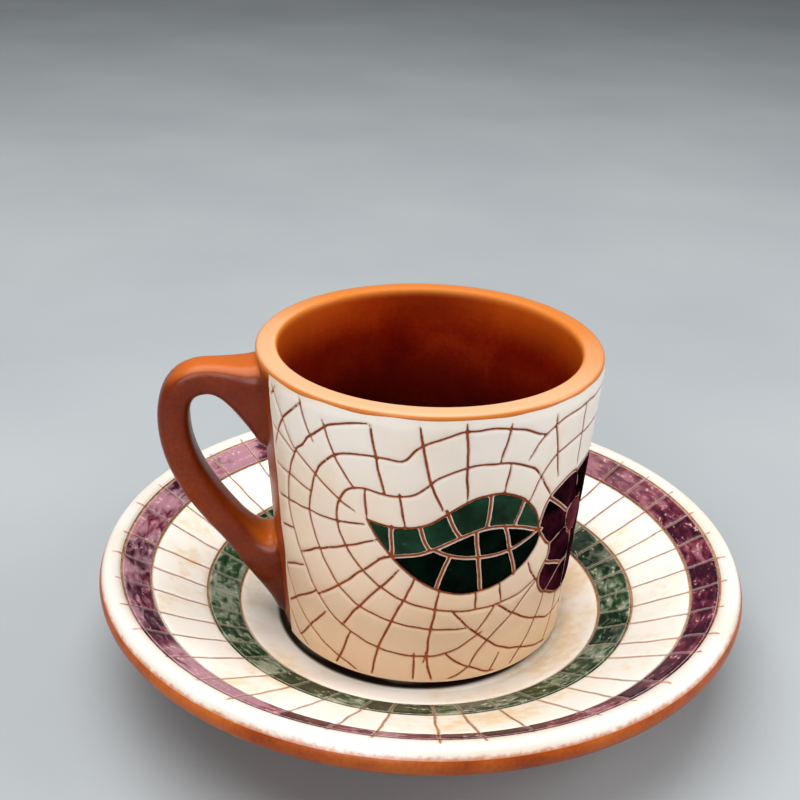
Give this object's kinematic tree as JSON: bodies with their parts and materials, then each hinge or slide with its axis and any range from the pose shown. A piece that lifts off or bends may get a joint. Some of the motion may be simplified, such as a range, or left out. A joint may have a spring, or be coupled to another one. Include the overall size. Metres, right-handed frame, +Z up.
{
  "type": "coffee cup and saucer",
  "caption": "Small conical handled coffee cup standing on its dished saucer, red clay with scored white slip and coloured glaze fields.",
  "frame": {"origin": "on the table, under the middle of the saucer's foot ring", "axes": "+Z up the cup's axis, the handle towards -X, the leaf towards -Y"},
  "size_m": [0.131, 0.131, 0.0679],
  "materials": {
    "red_clay": "red clay under a clear gloss glaze",
    "white_slip": "white slip under a clear gloss glaze",
    "green_glaze": "mottled green gloss glaze",
    "deep_green_glaze": "near-black green gloss glaze",
    "purple_glaze": "mottled purple gloss glaze",
    "dark_purple_glaze": "dark aubergine gloss glaze"
  },
  "bodies": {
    "saucer": {"saucer_body": "red_clay", "saucer_well_slip": "white_slip", "saucer_green_band": "green_glaze", "saucer_cream_band": "white_slip", "saucer_purple_band": "purple_glaze", "saucer_lip_slip": "white_slip"},
    "cup": {"cup_body": "red_clay", "cup_handle": "red_clay", "handle_upper_joint": "red_clay", "handle_lower_joint": "red_clay", "cup_slip_coat": "white_slip", "leaf_upper_glaze": "green_glaze", "leaf_lower_glaze": "deep_green_glaze", "flower_petal_1": "dark_purple_glaze", "flower_petal_2": "dark_purple_glaze", "flower_petal_3": "dark_purple_glaze", "flower_petal_4": "dark_purple_glaze", "flower_petal_5": "dark_purple_glaze", "flower_heart": "purple_glaze"}
  },
  "joints": [
    {"name": "cup_lift", "type": "slide", "parent": "saucer", "child": "cup", "axis": [0, 0, 1], "range_m": [0, 0.06]}
  ]
}
